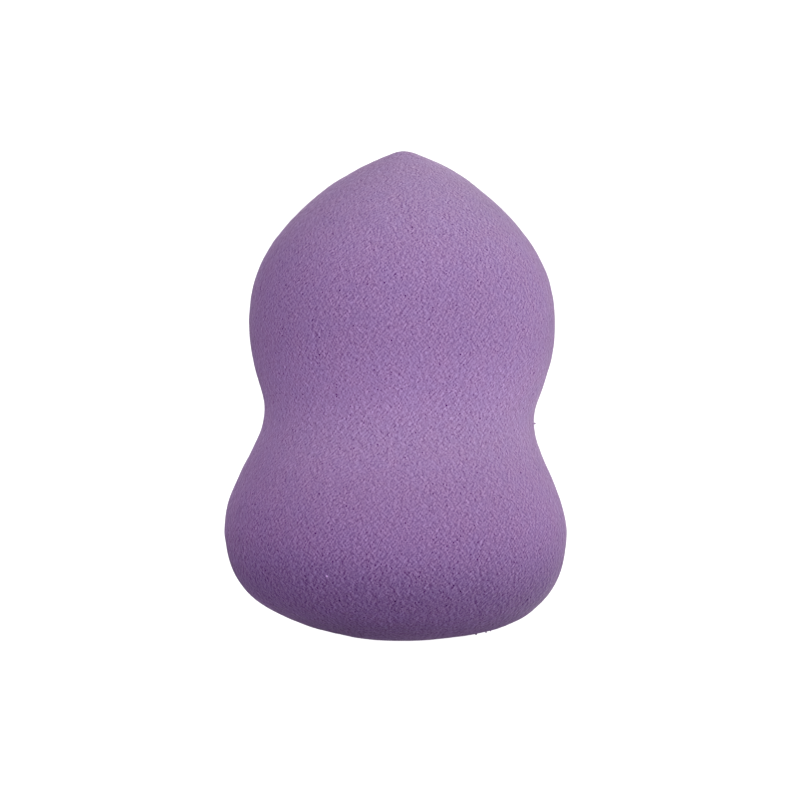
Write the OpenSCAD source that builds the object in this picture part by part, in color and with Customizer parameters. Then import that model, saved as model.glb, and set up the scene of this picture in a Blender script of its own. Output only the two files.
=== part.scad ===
// A foam makeup sponge in the shape of a gourd: a wide lower lobe, a waist, and a narrower
// upper lobe that runs up to a blunt tip. It is one solid piece of foam, round about its axis.
// The outline is a single run of arcs, each tangent to the next, so the surface has no edge
// apart from the rim of the small flat that the sponge stands on.
// +Z is the axis, tip up. The origin is the centre of that flat.

/* [Underside] */
// Radius of the shallow dome underneath
underside_round = 38; // [32:0.5:50]
// Depth cut off the dome, which leaves the flat that the sponge stands on
foot_cut = 0.3; // [0.1:0.05:0.5]

/* [Lower lobe] */
// Diameter of the lower lobe at its widest level
lower_d = 42.7; // [41:0.1:45]
// Rise from the flat to that level
lower_rise = 12.8; // [11.5:0.1:13.5]

/* [Waist] */
// Diameter of the waist at its narrowest level
waist_d = 33.9; // [31:0.1:36]
// Rise from the lower lobe's widest level to the waist's narrowest
waist_rise = 15.1; // [14:0.1:18]
// Radius of the hollow at the waist, seen from the side
waist_round = 10.2; // [5:0.1:10.5]

/* [Upper lobe] */
// Diameter of the upper lobe at its widest level
upper_d = 38.3; // [37:0.1:40]
// Rise from the waist's narrowest level to that level
upper_rise = 12; // [11:0.1:14]
// Radius of the shoulder, from that level up
shoulder_round = 17; // [14:0.5:18]

/* [Tip] */
// Rise from the upper lobe's widest level to the tip
tip_rise = 21.1; // [20:0.1:24]
// Radius of the blunt tip
tip_round = 3.8; // [2.5:0.1:6]
// Radius of the long, nearly straight flank between the shoulder and the tip
flank_round = 31; // [30:0.5:60]

/* [Hidden] */

// Lavender foam
foam_colour = [0.62, 0.49, 0.68];
// Most degrees that the outline turns between two of its points
outline_step = 3;
// Steps round the axis
turn_steps = 180;

lower_r = lower_d / 2;
waist_r = waist_d / 2;
upper_r = upper_d / 2;

// Levels above the flat
lower_z = lower_rise;
waist_z = lower_z + waist_rise;
upper_z = waist_z + upper_rise;
tip_z = upper_z + tip_rise;

// Underside: the dome's centre, and the radius of the flat that the cut leaves
dome_centre = [0, underside_round - foot_cut];
foot_r = sqrt(pow(underside_round, 2) - pow(dome_centre.y, 2));

// Heel: the arc that joins the dome to the lower lobe's widest level, tangent to both
widest_to_centre = dome_centre.y - lower_z;
heel_round = (pow(underside_round, 2) - pow(lower_r, 2) - pow(widest_to_centre, 2))
    / (2 * (underside_round - lower_r));
heel_centre = [lower_r - heel_round, lower_z];

// Sides of the waist: from each lobe's widest level an arc bulges out, and it turns over into
// the hollow of the waist where the outline leans most
waist_centre = [waist_r + waist_round, waist_z];
lower_lean = side_lean(lower_r, waist_rise);
upper_lean = side_lean(upper_r, upper_rise);
lower_round = side_radii(lower_r, waist_rise) - waist_round;
upper_round = side_radii(upper_r, upper_rise) - waist_round;
lower_centre = [lower_r - lower_round, lower_z];
upper_centre = [upper_r - upper_round, upper_z];

// Shoulder, tip, and the flank, a wide arc that both of them touch from inside
shoulder_centre = [upper_r - shoulder_round, upper_z];
tip_centre = [0, tip_z - tip_round];
flank_centre = left_crossing(
    shoulder_centre, flank_round - shoulder_round,
    tip_centre, flank_round - tip_round
);

// Greatest lean of the outline between a lobe's widest level and the waist
function side_lean(lobe_r, rise) = 2 * atan2(lobe_r - waist_r, rise);

// Radii of the two arcs that lie between them, added up
function side_radii(lobe_r, rise) =
    (pow(lobe_r - waist_r, 2) + pow(rise, 2)) / (2 * (lobe_r - waist_r));

// Where a circle about a and a circle about b cross, on the left of the way from a to b
function left_crossing(a, a_radius, b, b_radius) =
    let (apart = norm(b - a))
    let (ahead = (b - a) / apart)
    let (along = (pow(a_radius, 2) - pow(b_radius, 2) + pow(apart, 2)) / (2 * apart))
    let (aside = sqrt(pow(a_radius, 2) - pow(along, 2)))
    a + along * ahead + aside * [-ahead.y, ahead.x];

// Direction from one point to another, in degrees
function direction(from, to) = atan2(to.y - from.y, to.x - from.x);

// Points along an arc in equal steps, without its first point, where the arc before it ends
function arc(centre, radius, from, to) =
    let (steps = ceil(abs(to - from) / outline_step))
    [
        for (i = [1 : steps])
        let (angle = from + (to - from) * i / steps)
        centre + radius * [cos(angle), sin(angle)]
    ];

function underside_outline() =
    let (rim = direction(dome_centre, [foot_r, 0]))
    let (turn = direction(dome_centre, heel_centre))
    concat(
        [[0, 0], [foot_r, 0]],
        arc(dome_centre, underside_round, rim, turn),
        arc(heel_centre, heel_round, turn, 0)
    );

function waist_outline() = concat(
    arc(lower_centre, lower_round, 0, lower_lean),
    arc(waist_centre, waist_round, 180 + lower_lean, 180 - upper_lean),
    arc(upper_centre, upper_round, -upper_lean, 0)
);

function tip_outline() =
    let (low = direction(flank_centre, shoulder_centre))
    let (high = direction(flank_centre, tip_centre))
    concat(
        arc(shoulder_centre, shoulder_round, 0, low),
        arc(flank_centre, flank_round, low, high),
        arc(tip_centre, tip_round, high, 90)
    );

module sponge() {
    color(foam_colour)
    rotate_extrude($fn = turn_steps)
    polygon(concat(underside_outline(), waist_outline(), tip_outline()));
}

sponge();
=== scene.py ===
import math

import bpy
import numpy as np
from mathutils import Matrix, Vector, noise


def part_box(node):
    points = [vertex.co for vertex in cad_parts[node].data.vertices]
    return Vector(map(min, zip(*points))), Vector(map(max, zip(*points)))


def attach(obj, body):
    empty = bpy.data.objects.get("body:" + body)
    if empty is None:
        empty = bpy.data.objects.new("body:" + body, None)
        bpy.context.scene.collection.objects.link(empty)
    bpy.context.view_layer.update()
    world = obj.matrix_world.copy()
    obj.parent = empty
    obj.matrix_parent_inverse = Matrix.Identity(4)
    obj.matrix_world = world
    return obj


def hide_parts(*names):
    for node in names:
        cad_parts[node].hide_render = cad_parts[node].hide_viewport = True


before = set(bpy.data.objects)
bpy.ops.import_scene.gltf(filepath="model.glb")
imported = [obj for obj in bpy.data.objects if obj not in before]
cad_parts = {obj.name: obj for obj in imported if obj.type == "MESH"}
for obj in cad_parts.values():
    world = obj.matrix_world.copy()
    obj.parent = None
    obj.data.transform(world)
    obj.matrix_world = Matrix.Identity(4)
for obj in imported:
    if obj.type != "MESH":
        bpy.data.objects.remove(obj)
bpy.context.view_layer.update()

MM = 0.001

# The portrait: an 800 x 800 picture, the rows of the tip and of the flat in it, and the column
# that the upper lobe's axis runs down
PICTURE_PX = 800
TIP_PX = 151.4
BASE_PX = 638.2
AXIS_PX = 401.9
LENS_MM = 180.0
SENSOR_MM = 36.0
CAMERA_RISE_DEG = 1.5
CLIP_NEAR, CLIP_FAR = 0.01, 10.0

# The foam's mesh: quads along one edge of the cube that it starts from, and steps along the
# outline that it is spread over. The outline is read off the solid to the micrometre.
QUADS_ALONG_EDGE = 126
PROFILE_STEPS = 1600
OUTLINE_DIGITS = 6

# The lean of this one sponge: how far its lower lobe, its heel and its tip lie to +X, and the
# levels over which each lean comes in and goes out again. The tip's stays up to the top.
LOBE_LEAN = -0.88 * MM
LOBE_IN = (1.0 * MM, 15.0 * MM)
LOBE_OUT = (21.0 * MM, 31.0 * MM)
HEEL_LEAN = 0.64 * MM
HEEL_IN = (0.1 * MM, 0.8 * MM)
HEEL_OUT = (1.0 * MM, 4.5 * MM)
TIP_LEAN = 0.30 * MM
TIP_IN = (55.5 * MM, 59.5 * MM)

# Swellings and dents of its flanks: the side (-1 is -X), the level, how far up and down each
# reaches, and how far out it goes
FLANKS = (
    (-1, 54.3 * MM, 1.3 * MM, -0.06 * MM),
    (-1, 41.6 * MM, 1.2 * MM, -0.06 * MM),
    (-1, 30.0 * MM, 3.2 * MM, 0.15 * MM),
    (-1, 24.2 * MM, 1.3 * MM, 0.12 * MM),
    (-1, 20.3 * MM, 1.3 * MM, -0.14 * MM),
    (-1, 16.4 * MM, 1.1 * MM, 0.08 * MM),
    (-1, 13.4 * MM, 0.6 * MM, 0.06 * MM),
    (-1, 11.5 * MM, 0.9 * MM, -0.05 * MM),
    (-1, 7.6 * MM, 2.2 * MM, 0.19 * MM),
    (-1, 5.3 * MM, 0.7 * MM, 0.04 * MM),
    (-1, 3.5 * MM, 0.8 * MM, -0.12 * MM),
    (-1, 1.5 * MM, 0.8 * MM, 0.14 * MM),
    (1, 48.0 * MM, 1.6 * MM, -0.05 * MM),
    (1, 36.0 * MM, 2.2 * MM, 0.11 * MM),
    (1, 30.8 * MM, 1.3 * MM, 0.06 * MM),
    (1, 28.0 * MM, 1.3 * MM, -0.19 * MM),
    (1, 23.6 * MM, 0.9 * MM, 0.13 * MM),
    (1, 19.4 * MM, 1.6 * MM, -0.14 * MM),
    (1, 13.9 * MM, 1.2 * MM, 0.17 * MM),
    (1, 7.6 * MM, 2.2 * MM, -0.11 * MM),
    (1, 1.6 * MM, 0.9 * MM, 0.18 * MM),
)

# The foam's relief: soft lumps and ripples, cut cells, and a pinhole here and there. A seed and
# a shift move each to a place of its own in the noise. The flat stays flat, and the relief comes
# in just above it.
LUMP_SIZE = 9.0 * MM
LUMP_DEPTH = 0.03 * MM
LUMP_SEED = 4.0
RIPPLE_SIZE = 2.4 * MM
RIPPLE_DEPTH = 0.03 * MM
RIPPLE_SEED = 9.0
SWELL_GAIN = 1.6
SWELL_SHIFT = (1.0, 2.7, -1.3)
CELL_SIZE = 0.75 * MM
CELL_DEPTH = 0.06 * MM
CELL_SEED = 1.0
CELL_HEART, CELL_RIM = 0.1, 0.65
CELL_SHALLOWEST = 0.4
CELL_SHIFT = (1.0, 3.1, -2.2)
CELL_DRAW = 7.3
PINHOLE_SIZE = 2.6 * MM
PINHOLE_DEPTH = 0.16 * MM
PINHOLE_SEED = 5.0
PINHOLE_HEART, PINHOLE_RIM = 0.12 * MM, 0.42 * MM
PINHOLE_LEFT_OUT = 0.1
RELIEF_FULL = 0.4 * MM

# Torn shreds of foam that stand out of the skin: the turn from the camera's side toward +X in
# degrees, the level, the length and the thickness at the root
BURRS = (
    (84, 0.74 * MM, 0.25 * MM, 0.40 * MM),
    (85, 1.00 * MM, 0.26 * MM, 0.26 * MM),
    (85, 1.21 * MM, 0.18 * MM, 0.20 * MM),
    (87, 26.9 * MM, 0.30 * MM, 0.28 * MM),
)

# A few more, drawn at random between these turns, levels and sizes
SMALL_BURRS = 10
SMALL_BURR_SEED = 5
SMALL_BURR_TURNS = (100, 260)
SMALL_BURR_LEVELS = (0.7 * MM, 1.6 * MM)
SMALL_BURR_SIZES = (0.18 * MM, 0.32 * MM)

# A shred's sides, and the rings of its blunt cone: the place along its length and the share of
# its thickness there. The first ring is rooted under the skin.
BURR_SIDES = 5
BURR_RINGS = ((-0.4, 1.0), (0.5, 0.8))

# One torn cell low on the front, painted pale as a highlight where its torn edge catches the light:
# its turn and level, its heart and rim, and its painted highlight colour
TORN_CELL = (-24.05, 8.95 * MM)
TORN_HEART, TORN_RIM = 0.10 * MM, 0.19 * MM
TORN_HIGHLIGHT_COLOUR = (0.85, 0.64, 0.95, 1.0)

# The foam's lavender at a few levels, with light and shade painted into it, and how strong its
# grain is there: painted shade makes it deepest just above the heel, painted light makes it
# palest about the waist and lighter again at the foot, and painted sheen makes it a little greyer
# at the tip
FOAM_AND_PAINTED_SHADE_BY_LEVEL = (
    (0.0 * MM, (0.364, 0.234, 0.467), 0.43),
    (2.5 * MM, (0.362, 0.230, 0.486), 0.43),
    (5.0 * MM, (0.301, 0.188, 0.405), 0.41),
    (8.0 * MM, (0.298, 0.186, 0.396), 0.41),
    (11.5 * MM, (0.334, 0.208, 0.427), 0.39),
    (15.0 * MM, (0.354, 0.223, 0.436), 0.365),
    (22.0 * MM, (0.364, 0.242, 0.437), 0.30),
    (26.0 * MM, (0.404, 0.277, 0.486), 0.33),
    (31.0 * MM, (0.424, 0.283, 0.518), 0.345),
    (36.0 * MM, (0.378, 0.247, 0.467), 0.345),
    (40.0 * MM, (0.356, 0.233, 0.441), 0.345),
    (47.0 * MM, (0.357, 0.239, 0.436), 0.345),
    (57.0 * MM, (0.377, 0.271, 0.445), 0.30),
    (61.0 * MM, (0.397, 0.284, 0.460), 0.30),
)

# Small and large patches, in patches per metre, in which the foam is a touch pinker or bluer.
# The grain is livelier in the pinker of the small ones.
PINKER = (1.0205, 1.0, 0.987, 1.0)
BLUER = (0.9795, 1.0, 1.013, 1.0)
PATCHES_SMALL = 900.0
PATCHES_LARGE = 330.0
PATCH_DETAIL = 2.0
PATCH_EDGES = (0.36, 0.64)
GRAIN_QUIET, GRAIN_STRONG = 0.85, 1.15

# The grain, which is the cut cells with their light and shade painted into the colour: light
# and dark flecks, each drawn out into a short streak across its slant. A second run of them
# crosses the first, and a third is coarser, without streaks, and stronger toward the foot. The
# second and third are drawn elsewhere in the noise.
FLECKS_PER_METRE = 3800.0
FLECK_REACH = 0.06 * MM
FLECK_STREAK = 0.125 * MM
FLECK_SLANT_DEG = 140.0
CROSS_SLANT_DEG = 40.0
CROSS_SHARE = 0.85
CROSS_PLACE = (0.31, 0.31, -0.31)
COARSE_SLANT_DEG = 15.0
COARSE_PER_METRE = 2000.0
COARSE_REACH = 0.09 * MM
COARSE_SHARE_LOW, COARSE_SHARE_HIGH = 0.6, 0.3
COARSE_FULL, COARSE_FROM = 6.0 * MM, 16.0 * MM
COARSE_PLACE = (0.77, 0.77, -0.77)

# Dark pores, painted shade in a share of the cells. Their heart and rim are distances in cell sizes.
PORES_PER_METRE = 2400.0
PORE_HEART, PORE_RIM = 0.05, 0.36
PORE_SHARE = 0.35
PORE_DEPTH = 1.3

# The strength of the grain's painted light and shade in red, green and blue, as shares of the
# foam's own colour
PAINTED_GRAIN_SHADE_COLOUR = (1.456, 1.977, 1.309)

# The rest of the foam's finish
RELIEF_PER_METRE = 1500.0
RELIEF_DETAIL = 1.0
RELIEF_DEPTH = 0.2 * MM
FOAM_ROUGHNESS = 0.95
BLOOM = 0.4
BLOOM_ROUGHNESS = 0.3
PALE_LAVENDER = (0.96, 0.88, 1.0, 1.0)
WHITE = (1.0, 1.0, 1.0, 1.0)

# The floor as the camera sees it: bright paper near the sponge, lost in white light farther off
FLOOR_RADIUS = 1.5
FLOOR_SPOKES = 96
FLOOR_NEAR_LOW = (1.90, 1.90, 1.90, 1.0)
FLOOR_NEAR_HIGH = (2.00, 2.00, 2.00, 1.0)
PAPER_TOOTH_PER_METRE = 900.0
PAPER_TOOTH_DETAIL = 3.0
FLOOR_GLOW = 1.2
FLOOR_GLOW_NEAR = 0.86
FLOOR_FADE_START, FLOOR_FADE_END = 24 * MM, 70 * MM

# The floor as it lights the sponge: what the paper throws back, tinted by the sponge near it,
# and a faint glow painted on the paper under the heel, which only the sponge sees. Both lie round
# a point toward the right.
BRIGHT_SIDE = (2.2 * MM, 0.0, 0.0)
FLOOR_BOUNCE = (0.30, 0.30, 0.30, 1.0)
FLOOR_BOUNCE_NEAR = (0.46, 0.40, 0.465, 1.0)
FLOOR_BOUNCE_START, FLOOR_BOUNCE_END = 20 * MM, 42 * MM
CONTACT_COLOUR = (1.0, 0.90, 1.03, 1.0)
CONTACT_GLOW = 0.23
CONTACT_START, CONTACT_END = 7 * MM, 17 * MM

# The lamps' tints. Where a lamp has none, it is plain white.
PLAIN = (1.0, 1.0, 1.0)
COOL = (1.02, 0.88, 1.09)
COOLEST = (1.02, 0.845, 1.10)
COOLER = (1.0, 0.97, 1.04)
WARM = (1.02, 1.015, 0.975)
WARMER = (0.975, 1.06, 0.97)
VIOLET = (1.01, 0.92, 1.01)
DEEP_VIOLET = (1.02, 0.76, 1.02)

# Softboxes, all as far from the sponge: azimuth and rise in degrees, size in metres, watts and
# tint. Azimuth 0 is the camera's side, and 90 is +X.
AIM_POINT = Vector((0.0, 0.0, 0.03))
SOFTBOX_DISTANCE = 0.9
SOFTBOXES = (
    ("left softbox", -60, 22, 0.45, 2.138, COOL),
    ("left low softbox", -30, 5, 0.45, 0.1931, PLAIN),
    ("top softbox", 0, 65, 0.45, 1.258, COOLER),
    ("right softbox", 60, 45, 0.45, 1.991, WARM),
    ("back light", 180, 45, 0.45, 1.18, VIOLET),
    ("rear light", 180, 10, 0.3, 4.4, VIOLET),
    ("back left light", -120, 45, 0.45, 0.71, DEEP_VIOLET),
    ("back right light", 120, 45, 0.45, 0.71, PLAIN),
)

# Small soft panels that stand close by: azimuth, distance, level, size, watts and tint
PANELS = (
    ("close front panel", 0, 0.10, 0.05, 0.05, 0.02606, COOLEST),
    ("close right panel", 30, 0.10, 0.05, 0.05, 0.02538, WARM),
    ("close side panel", 60, 0.10, 0.05, 0.05, 0.01382, WARMER),
    ("close low panel", 30, 0.18, 0.02, 0.08, 0.008709, PLAIN),
)

# The room gives no light, and the camera sees it white
ROOM_LIGHT = 0.0
ROOM_SEEN = 1.2


def blend_in(value, start, end):
    """0 before start, 1 after end, and a smooth ramp between."""
    t = np.clip((value - start) / (end - start), 0.0, 1.0)
    return t * t * (3.0 - 2.0 * t)


def turned_outline(node):
    """Radius and height along the turned solid's outline, from the centre of its flat to its tip."""
    corners = np.array([v.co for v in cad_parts[node].data.vertices])
    radius = np.hypot(corners[:, 0], corners[:, 1])
    rings = np.unique(np.round(np.stack([corners[:, 2], radius], 1), OUTLINE_DIGITS), axis=0)
    levels = np.unique(rings[:, 0])
    widest = [rings[rings[:, 0] == level, 1].max() for level in levels]
    start = [[0.0, levels[0]]]
    return np.array(start + [[r, z] for r, z in zip(widest, levels)])


def rounded(points, steps):
    """A smooth curve through the points, in even steps, and how far along it each step lies."""
    along = np.append(0.0, np.cumsum(np.hypot(*np.diff(points, axis=0).T)))
    slope = np.gradient(points, along, axis=0)
    fine = np.linspace(0.0, along[-1], steps)
    i = np.clip(np.searchsorted(along, fine) - 1, 0, len(along) - 2)
    gap = along[i + 1] - along[i]
    t = ((fine - along[i]) / gap)[:, None]
    gap = gap[:, None]
    curve = (
        (2 * t**3 - 3 * t**2 + 1) * points[i]
        + (t**3 - 2 * t**2 + t) * gap * slope[i]
        + (3 * t**2 - 2 * t**3) * points[i + 1]
        + (t**3 - t**2) * gap * slope[i + 1]
    )
    curve[:, 0] = np.maximum(curve[:, 0], 0.0)
    return fine, curve


def cube_ball(quads):
    """Unit directions and quads of a cube's six faces, puffed out to a ball with even spacing."""
    ticks = np.arange(-quads, quads + 1, 2)
    u, v = np.meshgrid(ticks, ticks, indexing="ij")
    side = len(ticks)
    corner = np.arange(side * side).reshape(side, side)
    a, b = corner[:-1, :-1].ravel(), corner[1:, :-1].ravel()
    c, d = corner[1:, 1:].ravel(), corner[:-1, 1:].ravel()
    points, faces = [], []
    for axis in range(3):
        for sign in (-quads, quads):
            face = np.zeros((side * side, 3), int)
            face[:, axis] = sign
            face[:, (axis + 1) % 3] = u.ravel()
            face[:, (axis + 2) % 3] = v.ravel()
            order = (a, b, c, d) if sign > 0 else (d, c, b, a)
            faces.append(np.stack(order, 1) + len(points) * side * side)
            points.append(face)
    points, faces = np.concatenate(points), np.concatenate(faces)
    shared, place = np.unique(points, axis=0, return_inverse=True)
    ball = np.tan(shared / quads * math.pi / 4.0)
    return ball / np.linalg.norm(ball, axis=1)[:, None], place.ravel()[faces]


def turned_skin(fine, curve):
    """Points spread evenly over the turned surface, and what goes with them.

    Gives the points, the way that each faces, the quads between them, and each point's level
    direction out from the axis.
    """
    radius, height = curve.T
    band = np.diff(fine) * (radius[1:] + radius[:-1]) / 2
    share = np.append(0.0, np.cumsum(band)) / band.sum()
    directions, faces = cube_ball(QUADS_ALONG_EDGE)
    along = np.interp((directions[:, 2] + 1) / 2, share, fine)
    turn = np.arctan2(directions[:, 1], directions[:, 0])
    out = np.stack([np.cos(turn), np.sin(turn)], 1)
    r, z = np.interp(along, fine, radius), np.interp(along, fine, height)
    run = np.interp(along, fine, np.gradient(radius, fine))
    rise = np.interp(along, fine, np.gradient(height, fine))
    facing = np.column_stack([out * rise[:, None], -run])
    facing /= np.linalg.norm(facing, axis=1)[:, None]
    return np.column_stack([out * r[:, None], z]), facing, faces, out


def swell(points, size, seed):
    """Soft noise from about -1 to 1, with lumps of that size."""
    shift = Vector([part * seed for part in SWELL_SHIFT])
    return np.array([noise.noise(Vector(p / size) + shift) for p in points]) * SWELL_GAIN


def cells(points, size, seed):
    """Distance to the nearest cell centre, in cell sizes, and that cell's own random value."""
    shift = Vector([part * seed for part in CELL_SHIFT])
    near, own = [], []
    for p in points:
        q = Vector(p / size) + shift
        far, centre = noise.voronoi(q)
        near.append(far[0])
        own.append(noise.cell(centre[0] * CELL_DRAW))
    return np.array(near), np.abs(own)


def relief(points, out):
    """How far the foam's skin stands out from the turned surface at each point."""
    z = points[:, 2]
    depth = LUMP_DEPTH * swell(points, LUMP_SIZE, LUMP_SEED)
    depth += RIPPLE_DEPTH * swell(points, RIPPLE_SIZE, RIPPLE_SEED)
    for side, level, length, proud in FLANKS:
        turned_there = np.clip(side * out[:, 0], 0.0, 1.0) ** 2
        depth += proud * turned_there * np.exp(-(((z - level) / length) ** 2) / 2)
    near, own = cells(points, CELL_SIZE, CELL_SEED)
    deepness = CELL_SHALLOWEST + (1 - CELL_SHALLOWEST) * own
    depth -= CELL_DEPTH * (1 - blend_in(near, CELL_HEART, CELL_RIM)) * deepness
    near, own = cells(points, PINHOLE_SIZE, PINHOLE_SEED)
    pinhole = 1 - blend_in(near * PINHOLE_SIZE, PINHOLE_HEART, PINHOLE_RIM)
    depth -= PINHOLE_DEPTH * pinhole * (own > PINHOLE_LEFT_OUT)
    return depth * blend_in(z, 0.0, RELIEF_FULL)


def sideways(z):
    """How far the sponge's middle lies to +X at each level."""
    lobe = blend_in(z, *LOBE_IN) * (1 - blend_in(z, *LOBE_OUT))
    heel = blend_in(z, *HEEL_IN) * (1 - blend_in(z, *HEEL_OUT))
    return LOBE_LEAN * lobe + HEEL_LEAN * heel + TIP_LEAN * blend_in(z, *TIP_IN)


def small_burrs():
    """A few shreds more, as BURRS gives them, low round the sides away from the camera."""
    draw = np.random.default_rng(SMALL_BURR_SEED)
    turned = draw.uniform(*SMALL_BURR_TURNS, SMALL_BURRS)
    levels = draw.uniform(*SMALL_BURR_LEVELS, SMALL_BURRS)
    sizes = draw.uniform(*SMALL_BURR_SIZES, SMALL_BURRS)
    return tuple((turn, level, size, size) for turn, level, size in zip(turned, levels, sizes))


def burr(foot, out, length, width):
    """Corners and faces of one shred, a small blunt cone."""
    first = Vector(out).orthogonal().normalized()
    second = Vector(out).cross(first)
    points = []
    for along, share in BURR_RINGS:
        middle = Vector(foot) + Vector(out) * (along * length)
        for i in range(BURR_SIDES):
            turn = 2 * math.pi * i / BURR_SIDES
            ring = (first * math.cos(turn) + second * math.sin(turn)) * (width / 2 * share)
            points.append(list(middle + ring))
    points.append(list(Vector(foot) + Vector(out) * length))
    patches = []
    for i in range(BURR_SIDES):
        j = (i + 1) % BURR_SIDES
        patches.append([i, j, j + BURR_SIDES, i + BURR_SIDES])
        patches.append([i + BURR_SIDES, j + BURR_SIDES, 2 * BURR_SIDES])
    return points, patches


def nearest_point(points, curve, turned, level):
    """Which of the points lies nearest to a place on the turned surface."""
    turn = math.radians(turned)
    reach = np.interp(level, curve[:, 1], curve[:, 0])
    spot = np.array([reach * math.sin(turn), -reach * math.cos(turn), level])
    return ((points - spot) ** 2).sum(axis=1).argmin()


def foam_block(node):
    """The sponge as one mesh of foam over the turned solid, and the place of its torn cell."""
    fine, curve = rounded(turned_outline(node), PROFILE_STEPS)
    smooth, facing, faces, out = turned_skin(fine, curve)
    skin = smooth + facing * relief(smooth, out)[:, None]
    skin[:, 0] += sideways(smooth[:, 2])
    skin[:, 2] = np.maximum(skin[:, 2], 0.0)

    points, sides = skin.tolist(), faces.tolist()
    for turned, level, length, width in BURRS + small_burrs():
        root = nearest_point(smooth, curve, turned, level)
        shred, patches = burr(skin[root], facing[root], length, width)
        sides += [[corner + len(points) for corner in patch] for patch in patches]
        points += shred

    mesh = bpy.data.meshes.new("foam_sponge")
    mesh.from_pydata(points, [], sides)
    mesh.shade_smooth()
    made = bpy.data.objects.new("foam_sponge", mesh)
    bpy.context.scene.collection.objects.link(made)
    return made, Vector(skin[nearest_point(smooth, curve, *TORN_CELL)])


def feed(tree, socket, value):
    """Links another node's output to a socket, or sets the socket's own value."""
    if isinstance(value, bpy.types.NodeSocket):
        tree.links.new(value, socket)
    else:
        socket.default_value = value


def put(tree, kind, **settings):
    """Adds a shader node. A setting that names an input fills that input."""
    made = tree.nodes.new(kind)
    for name, value in settings.items():
        name = name.replace("_", " ") if name[0].isupper() else name
        if name in made.inputs:
            feed(tree, made.inputs[name], value)
        else:
            setattr(made, name, value)
    return made


def math_node(tree, operation, *values):
    """The result of a sum on plain numbers."""
    made = put(tree, "ShaderNodeMath", operation=operation)
    for socket, value in zip(made.inputs, values):
        feed(tree, socket, value)
    return made.outputs[0]


def vector_math(tree, operation, *values, scale=None):
    """The result of a sum on vectors."""
    made = put(tree, "ShaderNodeVectorMath", operation=operation)
    for socket, value in zip(made.inputs, values):
        feed(tree, socket, value)
    if scale is not None:
        feed(tree, made.inputs["Scale"], scale)
    return made.outputs[0]


def how_far(tree, where, centre):
    """Distance from a fixed point."""
    made = put(tree, "ShaderNodeVectorMath", operation="DISTANCE")
    feed(tree, made.inputs[0], where)
    feed(tree, made.inputs[1], centre)
    return made.outputs["Value"]


def ramp(tree, value, low, high, to_low=0.0, to_high=1.0):
    """A smooth step of a value between low and high."""
    made = put(
        tree, "ShaderNodeMapRange",
        interpolation_type="SMOOTHSTEP", Value=value,
        From_Min=low, From_Max=high, To_Min=to_low, To_Max=to_high,
    )
    return made.outputs["Result"]


def mix_colour(tree, share, first, second, kind="MIX"):
    """The second colour laid over the first by a share."""
    made = put(tree, "ShaderNodeMix", data_type="RGBA", blend_type=kind)
    for socket, item in zip((made.inputs[0], made.inputs[6], made.inputs[7]), (share, first, second)):
        feed(tree, socket, item)
    return made.outputs[2]


def mix_shader(tree, share, first, second):
    """The second shader laid over the first by a share."""
    made = tree.nodes.new("ShaderNodeMixShader")
    for socket, item in zip(made.inputs, (share, first, second)):
        feed(tree, socket, item)
    return made.outputs[0]


def new_finish(name):
    """A bare material, its nodes, and the place on the object that they colour."""
    made = bpy.data.materials.new(name)
    made.use_nodes = True
    made.node_tree.nodes.clear()
    where = made.node_tree.nodes.new("ShaderNodeTexCoord").outputs["Object"]
    return made, made.node_tree, where


def painted_flecks_group():
    """Flecks of painted light and shade, as a pored surface shows where light falls across it along a
    slant.

    The noise is compared at two places, Reach away on either side along the slant. Each is the
    sum of two spots, Streak away on either side across it, which draws the fleck out.
    """
    tree = bpy.data.node_groups.new("foam painted shade flecks", "ShaderNodeTree")
    for label, kind, value in (
        ("Vector", "NodeSocketVector", None),
        ("Around", "NodeSocketVector", None),
        ("Per metre", "NodeSocketFloat", FLECKS_PER_METRE),
        ("Reach", "NodeSocketFloat", FLECK_REACH),
        ("Streak", "NodeSocketFloat", FLECK_STREAK),
        ("Slant", "NodeSocketFloat", 0.0),
    ):
        socket = tree.interface.new_socket(label, in_out="INPUT", socket_type=kind)
        if value is not None:
            socket.default_value = value
    tree.interface.new_socket("Fleck", in_out="OUTPUT", socket_type="NodeSocketFloat")
    given = tree.nodes.new("NodeGroupInput").outputs
    result = tree.nodes.new("NodeGroupOutput").inputs

    cosine = math_node(tree, "COSINE", given["Slant"])
    sine = math_node(tree, "SINE", given["Slant"])
    minus = math_node(tree, "MULTIPLY", sine, -1.0)
    steps = []
    for size, level_share, up_share in (("Reach", cosine, sine), ("Streak", minus, cosine)):
        along = math_node(tree, "MULTIPLY", level_share, given[size])
        up = math_node(tree, "MULTIPLY", up_share, given[size])
        level_part = vector_math(tree, "SCALE", given["Around"], scale=along)
        up_part = put(tree, "ShaderNodeCombineXYZ", Z=up).outputs[0]
        steps.append(vector_math(tree, "ADD", level_part, up_part))
    across, streak = steps
    ends = []
    for side in ("ADD", "SUBTRACT"):
        place = vector_math(tree, side, given["Vector"], across)
        halves = []
        for end in ("ADD", "SUBTRACT"):
            spot = vector_math(tree, end, place, streak)
            foam = put(tree, "ShaderNodeTexNoise", Vector=spot, Scale=given["Per metre"], Detail=0.0)
            halves.append(foam.outputs[0])
        ends.append(math_node(tree, "ADD", *halves))
    tree.links.new(math_node(tree, "SUBTRACT", *ends), result["Fleck"])
    return tree


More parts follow.
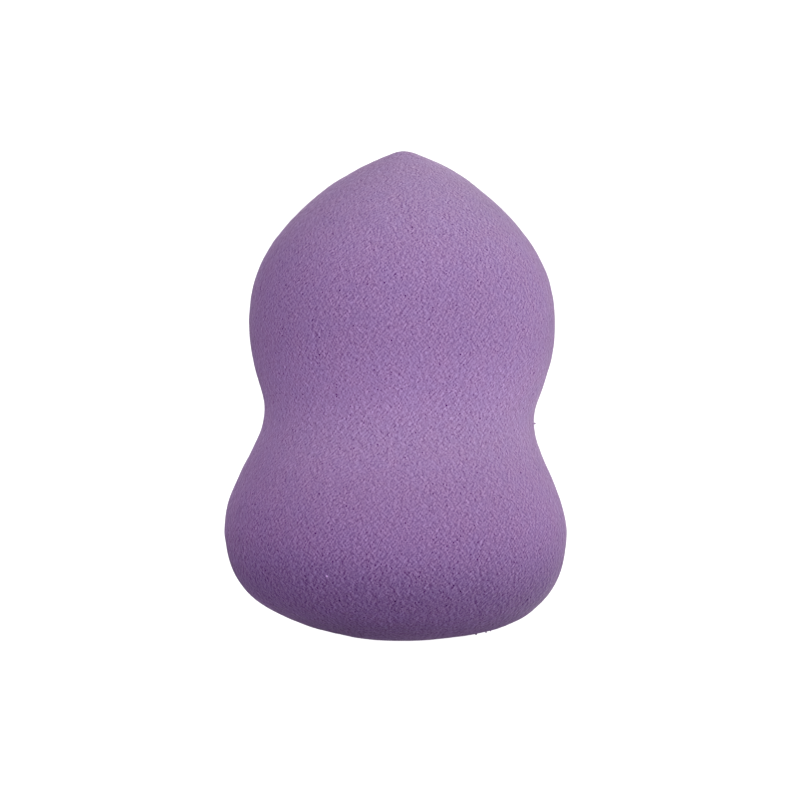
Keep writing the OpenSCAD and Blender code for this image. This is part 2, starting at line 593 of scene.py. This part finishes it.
def foam_tone_and_painted_shade(tree, where, level):
    """Lavender by level with painted light and shade, faint pink and blue patches, and the grain's
    strength.
    """
    patches = []
    for size in (PATCHES_SMALL, PATCHES_LARGE):
        spread = put(tree, "ShaderNodeTexNoise", Vector=where, Scale=size, Detail=PATCH_DETAIL)
        patches.append(ramp(tree, spread.outputs[0], *PATCH_EDGES))
    drift = mix_colour(tree, 0.5, *(mix_colour(tree, patch, BLUER, PINKER) for patch in patches))
    liveliness = ramp(tree, patches[0], 0.0, 1.0, GRAIN_QUIET, GRAIN_STRONG)
    top = FOAM_AND_PAINTED_SHADE_BY_LEVEL[-1][0]
    # The colour by level is the foam's lavender with painted light and shade in it: lighter about the
    # waist and at the foot, darker just above the heel, greyer at the tip
    band = put(tree, "ShaderNodeValToRGB", Fac=math_node(tree, "DIVIDE", level, top))
    stops = band.color_ramp.elements
    band.color_ramp.interpolation = "CARDINAL"
    for height, colour, strength in FOAM_AND_PAINTED_SHADE_BY_LEVEL[1:-1]:
        stops.new(height / top)
    for stop, (height, colour, strength) in zip(stops, FOAM_AND_PAINTED_SHADE_BY_LEVEL):
        stop.color = colour + (strength,)
    shaded_tone = mix_colour(tree, 1.0, band.outputs["Color"], drift, "MULTIPLY")
    return shaded_tone, math_node(tree, "MULTIPLY", band.outputs["Alpha"], liveliness)


def painted_pore_shade(tree, where):
    """Painted shade of a dark pore in some of the cells, deeper in some than in others."""
    cell = put(tree, "ShaderNodeTexVoronoi", Vector=where, Scale=PORES_PER_METRE)
    own = put(tree, "ShaderNodeSeparateColor", Color=cell.outputs["Color"])
    pore_shade = ramp(tree, cell.outputs["Distance"], PORE_HEART, PORE_RIM, 1.0, 0.0)
    return math_node(tree, "MULTIPLY", pore_shade, ramp(tree, own.outputs[0], 1.0 - PORE_SHARE, 1.0))


def foam_grain_painted_shade(tree, where, level):
    """The three runs of flecks and the pores, added up as painted light and shade: above zero lighter,
    below darker.
    """
    outward = vector_math(tree, "NORMALIZE", vector_math(tree, "MULTIPLY", where, (1.0, 1.0, 0.0)))
    around = vector_math(tree, "CROSS_PRODUCT", (0.0, 0.0, 1.0), outward)
    group = painted_flecks_group()
    main = put(
        tree, "ShaderNodeGroup", node_tree=group,
        Vector=where, Around=around, Slant=math.radians(FLECK_SLANT_DEG),
    )
    cross = put(
        tree, "ShaderNodeGroup", node_tree=group,
        Vector=vector_math(tree, "ADD", where, CROSS_PLACE),
        Around=around, Slant=math.radians(CROSS_SLANT_DEG),
    )
    coarse = put(
        tree, "ShaderNodeGroup", node_tree=group,
        Vector=vector_math(tree, "ADD", where, COARSE_PLACE),
        Around=around, Slant=math.radians(COARSE_SLANT_DEG),
        Per_metre=COARSE_PER_METRE, Reach=COARSE_REACH, Streak=0.0,
    )
    coarse_share = ramp(tree, level, COARSE_FULL, COARSE_FROM, COARSE_SHARE_LOW, COARSE_SHARE_HIGH)
    grain_shade = math_node(tree, "MULTIPLY_ADD", cross.outputs[0], CROSS_SHARE, main.outputs[0])
    grain_shade = math_node(tree, "MULTIPLY_ADD", coarse.outputs[0], coarse_share, grain_shade)
    return math_node(tree, "MULTIPLY_ADD", painted_pore_shade(tree, where), -PORE_DEPTH, grain_shade)


def foam_finish(torn_cell):
    """Dry lavender foam, its cut cells as grain of painted light and shade in the colour, and a soft
    relief.
    """
    made, tree, where = new_finish("lavender foam")
    level = put(tree, "ShaderNodeSeparateXYZ", Vector=where).outputs["Z"]
    shaded_tone, strength = foam_tone_and_painted_shade(tree, where, level)
    # The colour gets painted light and shade twice: by level in the tone, and as the cut cells' grain
    strength = math_node(tree, "MULTIPLY", foam_grain_painted_shade(tree, where, level), strength)
    grain_shade = vector_math(tree, "SCALE", PAINTED_GRAIN_SHADE_COLOUR, scale=strength)
    colour = vector_math(tree, "MULTIPLY_ADD", shaded_tone, grain_shade, shaded_tone)
    # The pale spot on the torn cell is a painted highlight, where its torn edge catches the light
    torn_highlight = ramp(tree, how_far(tree, where, torn_cell), TORN_HEART, TORN_RIM, 1.0, 0.0)
    colour = mix_colour(tree, torn_highlight, colour, TORN_HIGHLIGHT_COLOUR)

    rough = put(tree, "ShaderNodeTexNoise", Vector=where, Scale=RELIEF_PER_METRE, Detail=RELIEF_DETAIL)
    bump = put(tree, "ShaderNodeBump", Strength=1.0, Distance=RELIEF_DEPTH, Height=rough.outputs[0])
    finish = put(
        tree, "ShaderNodeBsdfPrincipled",
        Base_Color=colour, Roughness=FOAM_ROUGHNESS, Normal=bump.outputs[0],
        Diffuse_Roughness=1.0, Specular_IOR_Level=0.0,
        Sheen_Weight=BLOOM, Sheen_Roughness=BLOOM_ROUGHNESS, Sheen_Tint=PALE_LAVENDER,
    )
    put(tree, "ShaderNodeOutputMaterial", Surface=finish.outputs[0])
    return made


def floor_finish():
    """Matt pale paper, lost in white light away from the sponge, that throws little light back."""
    made, tree, where = new_finish("pale paper")
    tooth = put(
        tree, "ShaderNodeTexNoise",
        Vector=where, Scale=PAPER_TOOTH_PER_METRE, Detail=PAPER_TOOTH_DETAIL,
    )
    shown = mix_colour(tree, tooth.outputs[0], FLOOR_NEAR_LOW, FLOOR_NEAR_HIGH)
    paper = put(tree, "ShaderNodeBsdfDiffuse", Color=shown)
    glow = put(tree, "ShaderNodeEmission", Color=WHITE, Strength=FLOOR_GLOW)
    away = how_far(tree, where, (0.0, 0.0, 0.0))
    fade = ramp(tree, away, FLOOR_FADE_START, FLOOR_FADE_END, FLOOR_GLOW_NEAR, 1.0)
    seen = mix_shader(tree, fade, paper.outputs[0], glow.outputs[0])

    away = how_far(tree, where, BRIGHT_SIDE)
    farther = ramp(tree, away, FLOOR_BOUNCE_START, FLOOR_BOUNCE_END)
    thrown = mix_colour(tree, farther, FLOOR_BOUNCE_NEAR, FLOOR_BOUNCE)
    bounce = put(tree, "ShaderNodeBsdfDiffuse", Color=thrown)
    # A faint glow painted on the paper under the heel, which only the sponge sees
    under = ramp(tree, away, CONTACT_START, CONTACT_END, CONTACT_GLOW, 0.0)
    contact = put(tree, "ShaderNodeEmission", Color=CONTACT_COLOUR, Strength=under)
    unseen = tree.nodes.new("ShaderNodeAddShader")
    feed(tree, unseen.inputs[0], bounce.outputs[0])
    feed(tree, unseen.inputs[1], contact.outputs[0])

    path = tree.nodes.new("ShaderNodeLightPath")
    both = mix_shader(tree, path.outputs["Is Camera Ray"], unseen.outputs[0], seen)
    put(tree, "ShaderNodeOutputMaterial", Surface=both)
    return made


def floor():
    mesh = bpy.data.meshes.new("floor")
    turns = [2 * math.pi * i / FLOOR_SPOKES for i in range(FLOOR_SPOKES)]
    rim = [(FLOOR_RADIUS * math.cos(t), FLOOR_RADIUS * math.sin(t), 0.0) for t in turns]
    mesh.from_pydata(rim, [], [list(range(FLOOR_SPOKES))])
    mesh.materials.append(floor_finish())
    made = bpy.data.objects.new("floor", mesh)
    bpy.context.scene.collection.objects.link(made)


def aim(thing, place, target):
    thing.location = place
    thing.rotation_euler = (target - place).to_track_quat("-Z", "Y").to_euler()


def lamp(name, place, target, size, watts, tint):
    """A square soft light that the camera doesn't see."""
    data = bpy.data.lights.new(name, "AREA")
    data.size = size
    data.energy = watts
    data.color = tint
    made = bpy.data.objects.new(name, data)
    bpy.context.scene.collection.objects.link(made)
    aim(made, place, target)
    made.visible_camera = False


def studio():
    for name, azimuth, rise, size, watts, tint in SOFTBOXES:
        a, e = math.radians(azimuth), math.radians(rise)
        toward = Vector((math.cos(e) * math.sin(a), -math.cos(e) * math.cos(a), math.sin(e)))
        lamp(name, AIM_POINT + SOFTBOX_DISTANCE * toward, AIM_POINT, size, watts, tint)
    for name, azimuth, distance, level, size, watts, tint in PANELS:
        a = math.radians(azimuth)
        place = Vector((distance * math.sin(a), -distance * math.cos(a), level))
        lamp(name, place, Vector((0.0, 0.0, level)), size, watts, tint)


def room():
    world = bpy.data.worlds.new("white room")
    world.use_nodes = True
    tree = world.node_tree
    tree.nodes.clear()
    path = tree.nodes.new("ShaderNodeLightPath")
    strength = ramp(tree, path.outputs["Is Camera Ray"], 0.0, 1.0, ROOM_LIGHT, ROOM_SEEN)
    back = put(tree, "ShaderNodeBackground", Color=WHITE, Strength=strength)
    put(tree, "ShaderNodeOutputWorld", Surface=back.outputs[0])
    bpy.context.scene.world = world


def camera():
    """The portrait's camera, from the rows and the column that the sponge takes in it."""
    low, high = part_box("sponge")
    scale = (high.z - low.z) / (BASE_PX - TIP_PX)
    distance = LENS_MM / SENSOR_MM * PICTURE_PX * scale
    centre_px = PICTURE_PX / 2
    middle = Vector(((centre_px - AXIS_PX) * scale, 0.0, low.z + (BASE_PX - centre_px) * scale))
    rise = math.radians(CAMERA_RISE_DEG)
    data = bpy.data.cameras.new("portrait")
    data.lens = LENS_MM
    data.sensor_width = SENSOR_MM
    data.clip_start = CLIP_NEAR
    data.clip_end = CLIP_FAR
    made = bpy.data.objects.new("portrait", data)
    bpy.context.scene.collection.objects.link(made)
    aim(made, middle + distance * Vector((0.0, -math.cos(rise), math.sin(rise))), middle)
    bpy.context.scene.camera = made
    bpy.context.scene.view_settings.view_transform = "Standard"


camera()
studio()
room()
floor()
sponge, torn_cell = foam_block("sponge")
sponge.data.materials.append(foam_finish(torn_cell))
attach(sponge, "root")
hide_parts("sponge")
